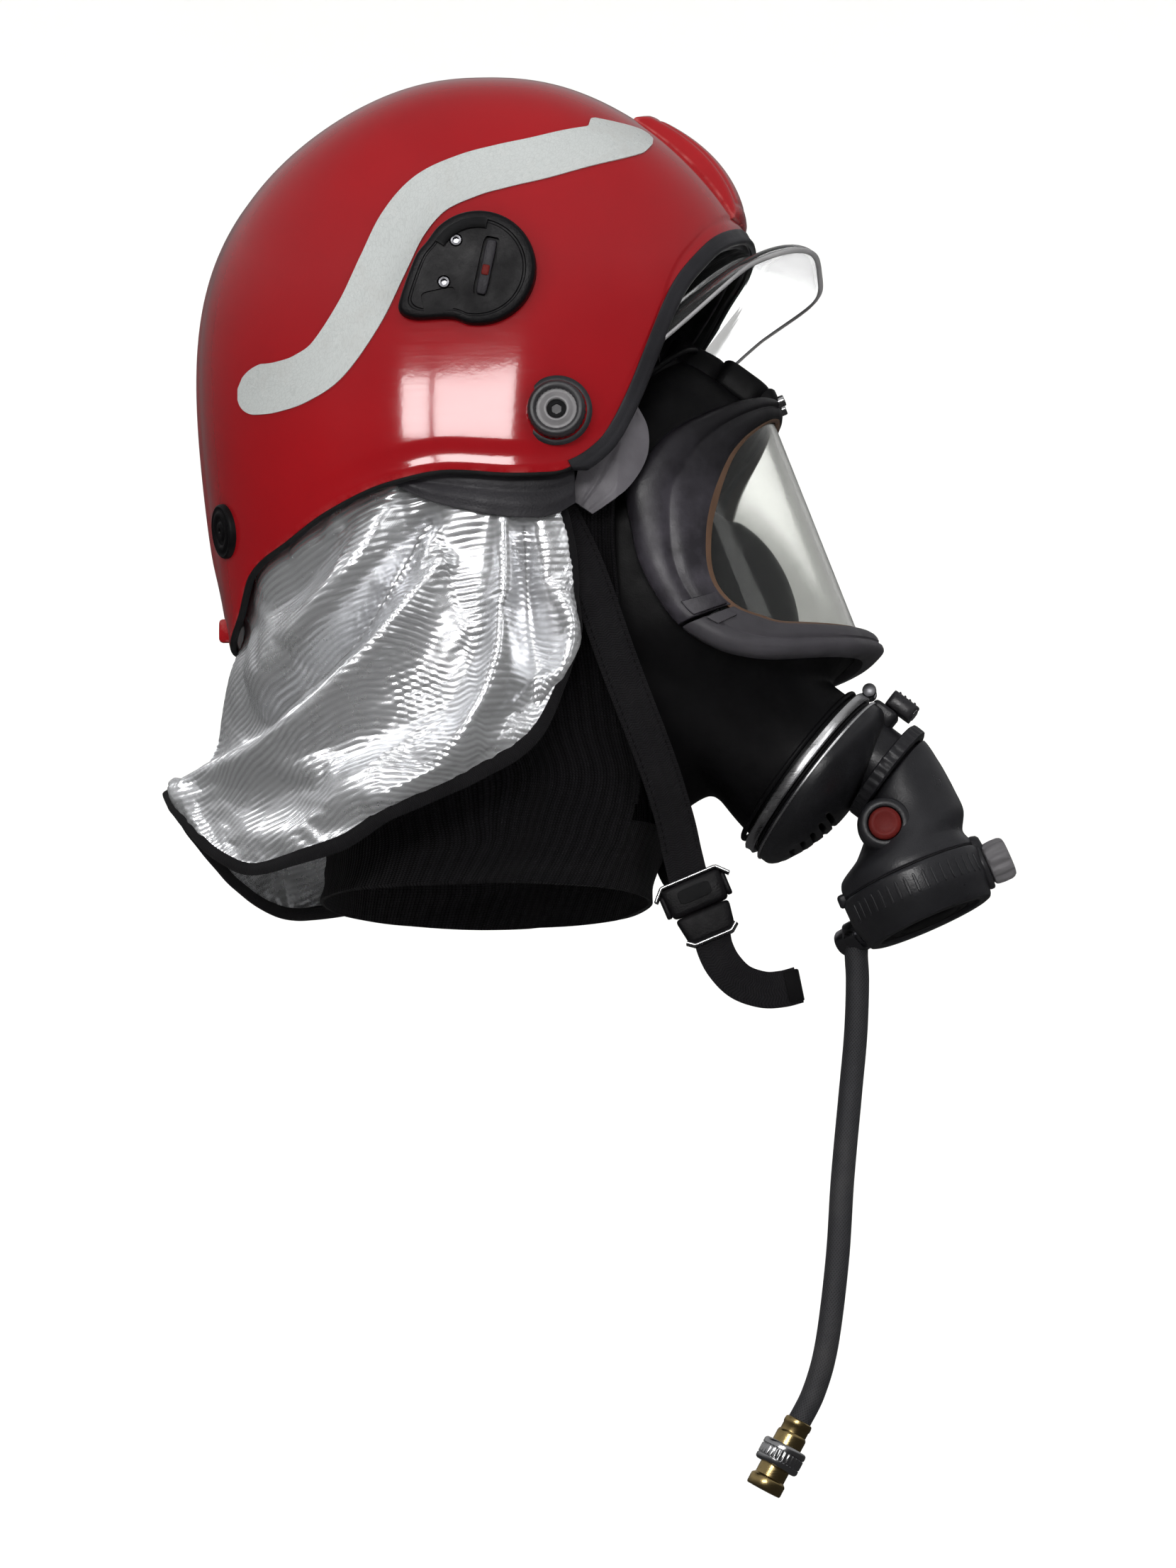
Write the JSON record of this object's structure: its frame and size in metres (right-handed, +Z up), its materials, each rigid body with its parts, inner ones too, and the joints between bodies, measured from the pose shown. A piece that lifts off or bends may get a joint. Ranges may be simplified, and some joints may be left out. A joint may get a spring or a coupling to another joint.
{
  "type": "fire helmet with breathing mask",
  "caption": "Fire-fighter's head set as worn: helmet with swing-down visor and neck curtain, knitted smoke hood, full-face mask, demand valve and hose.",
  "frame": {"origin": "centre of the crown pad's flat lower face, where it rests on the top of the head", "axes": "+X the way the wearer looks, +Y the wearer's left, +Z up"},
  "size_m": [0.4003, 0.2446, 0.6675],
  "materials": {
    "shell_red": "glossy painted composite shell",
    "crest_red": "glossy painted front plate",
    "trim_rubber": "satin rubber edging",
    "liner_foam": "black expanded foam",
    "harness_plastic": "black nylon headband and cradle",
    "pad_fabric": "black padded textile",
    "guard_plastic": "dark grey moulded guard",
    "bracket_plastic": "black moulded bracket",
    "steel": "bright stainless steel",
    "stripe_reflective": "pale retroreflective film",
    "curtain_aluminised": "aluminised woven fabric",
    "binding_black": "black edge binding",
    "webbing": "black woven webbing",
    "hood_knit": "black knitted hood",
    "mask_rubber": "black moulded facepiece rubber",
    "ring_plastic": "dark satin lens frame",
    "clear_lens": "clear polycarbonate",
    "valve_plastic": "black satin moulded plastic",
    "red_button": "dark red button",
    "knob_grey": "grey moulded knob",
    "brass": "nickel-faced brass fitting",
    "hose_rubber": "black hose cover"
  },
  "bodies": {
    "helmet": {"helmet_shell": "shell_red", "front_crest": "crest_red", "face_edge_trim": "trim_rubber", "impact_liner": "liner_foam", "brow_liner": "liner_foam", "headband": "harness_plastic", "crown_pad": "pad_fabric", "crown_cradle": "harness_plastic", "ear_guard_right": "guard_plastic", "ear_guard_left": "guard_plastic", "cheek_guard_right": "guard_plastic", "cheek_guard_left": "guard_plastic", "lamp_bracket_right": "bracket_plastic", "lamp_bracket_left": "bracket_plastic", "bracket_screw_upper": "steel", "bracket_screw_lower": "steel", "reflective_stripe_right": "stripe_reflective", "reflective_stripe_left": "stripe_reflective", "rear_stud_right": "bracket_plastic", "rear_stud_left": "bracket_plastic", "neck_curtain": "curtain_aluminised", "curtain_binding": "binding_black", "ratchet_housing": "harness_plastic", "chin_strap_right": "webbing", "chin_strap_left": "webbing", "buckle_socket": "bracket_plastic", "hood": "hood_knit", "facepiece": "mask_rubber", "lens_ring_upper": "ring_plastic", "lens_ring_lower": "ring_plastic", "mask_lens": "clear_lens", "ring_screw_right": "steel", "ring_screw_left": "steel", "nose_cup": "mask_rubber", "clamp_band": "steel", "clamp_band_screw": "steel", "port_housing": "valve_plastic", "speech_diaphragm": "steel", "temple_strap_right": "mask_rubber", "temple_strap_left": "mask_rubber"},
    "visor": {"visor_lens": "clear_lens", "visor_knob_right": "knob_grey", "visor_knob_left": "knob_grey"},
    "ratchet": {"ratchet_knob": "harness_plastic"},
    "nape_band_r": {"nape_band_right": "harness_plastic"},
    "nape_band_l": {"nape_band_left": "harness_plastic"},
    "buckle": {"buckle_plug": "bracket_plastic", "strap_tail": "webbing"},
    "lock_ring": {"lock_ring": "valve_plastic"},
    "demand_valve": {"valve_body": "valve_plastic", "valve_base_ring": "valve_plastic"},
    "reset": {"reset_button": "red_button"},
    "purge": {"purge_cover": "mask_rubber"},
    "lever": {"demand_lever": "steel"},
    "bypass": {"bypass_knob": "knob_grey"},
    "exhale": {"exhalation_valve": "mask_rubber"},
    "supply_hose": {"hose": "hose_rubber", "hose_coupling": "brass"},
    "collar": {"coupling_collar": "steel"},
    "latch": {"release_latch": "knob_grey"}
  },
  "joints": [
    {"name": "visor_swing", "type": "hinge", "parent": "helmet", "child": "visor", "pos_m": [0.041, 0, -0.137], "axis": [0, 1, 0], "range_deg": [0, 36]},
    {"name": "ratchet_turn", "type": "hinge", "parent": "helmet", "child": "ratchet", "pos_m": [-0.1074, 0, -0.118], "axis": [1, 0, 0], "range_deg": [0, 300]},
    {"name": "band_right_slide", "type": "slide", "parent": "helmet", "child": "nape_band_r", "axis": [-0.7071, 0.7071, 0], "range_m": [0, 0.0065]},
    {"name": "band_left_slide", "type": "slide", "parent": "helmet", "child": "nape_band_l", "axis": [-0.7071, -0.7071, 0], "range_m": [0, 0.0065]},
    {"name": "buckle_release", "type": "slide", "parent": "helmet", "child": "buckle", "axis": [0.4, 0, -0.9165], "range_m": [0, 0.03]},
    {"name": "lock_ring_turn", "type": "hinge", "parent": "helmet", "child": "lock_ring", "pos_m": [0.16865, 0, -0.27279], "axis": [0.7918, 0, -0.6107], "range_deg": [0, 35]},
    {"name": "demand_valve_swivel", "type": "hinge", "parent": "helmet", "child": "demand_valve", "pos_m": [0.16865, 0, -0.27279], "axis": [0.7918, 0, -0.6107], "range_deg": [-25, 25]},
    {"name": "reset_press", "type": "slide", "parent": "demand_valve", "child": "reset", "axis": [0, 1, 0], "range_m": [0, 0.003]},
    {"name": "purge_press", "type": "slide", "parent": "demand_valve", "child": "purge", "axis": [-0.3993, 0, 0.9168], "range_m": [0, 0.003]},
    {"name": "demand_lever_tilt", "type": "hinge", "parent": "demand_valve", "child": "lever", "pos_m": [0.21154, 0, -0.32958], "axis": [0, 1, 0], "range_deg": [0, 11]},
    {"name": "bypass_turn", "type": "hinge", "parent": "demand_valve", "child": "bypass", "pos_m": [0.2358, 0, -0.33319], "axis": [0.9168, 0, 0.3993], "range_deg": [0, 90]},
    {"name": "exhale_valve_lift", "type": "slide", "parent": "helmet", "child": "exhale", "axis": [0.7918, 0, -0.6107], "range_m": [0, 0.0015]},
    {"name": "hose_swivel", "type": "hinge", "parent": "demand_valve", "child": "supply_hose", "pos_m": [0.17745, 0.02111, -0.36187], "axis": [-0.751, 0.5736, -0.3271], "range_deg": [-15, 15]},
    {"name": "collar_slide", "type": "slide", "parent": "supply_hose", "child": "collar", "axis": [-0.4728, 0, -0.8812], "range_m": [0, 0.005]},
    {"name": "latch_press", "type": "slide", "parent": "helmet", "child": "latch", "axis": [-0.7918, 0, 0.6107], "range_m": [0, 0.003]}
  ],
  "couplings": [
    {"joint": "band_right_slide", "follows": "ratchet_turn", "m_per_rad": 0.0011459},
    {"joint": "band_left_slide", "follows": "ratchet_turn", "m_per_rad": 0.0011459},
    {"joint": "demand_lever_tilt", "follows": "purge_press", "rad_per_m": 58.178}
  ]
}
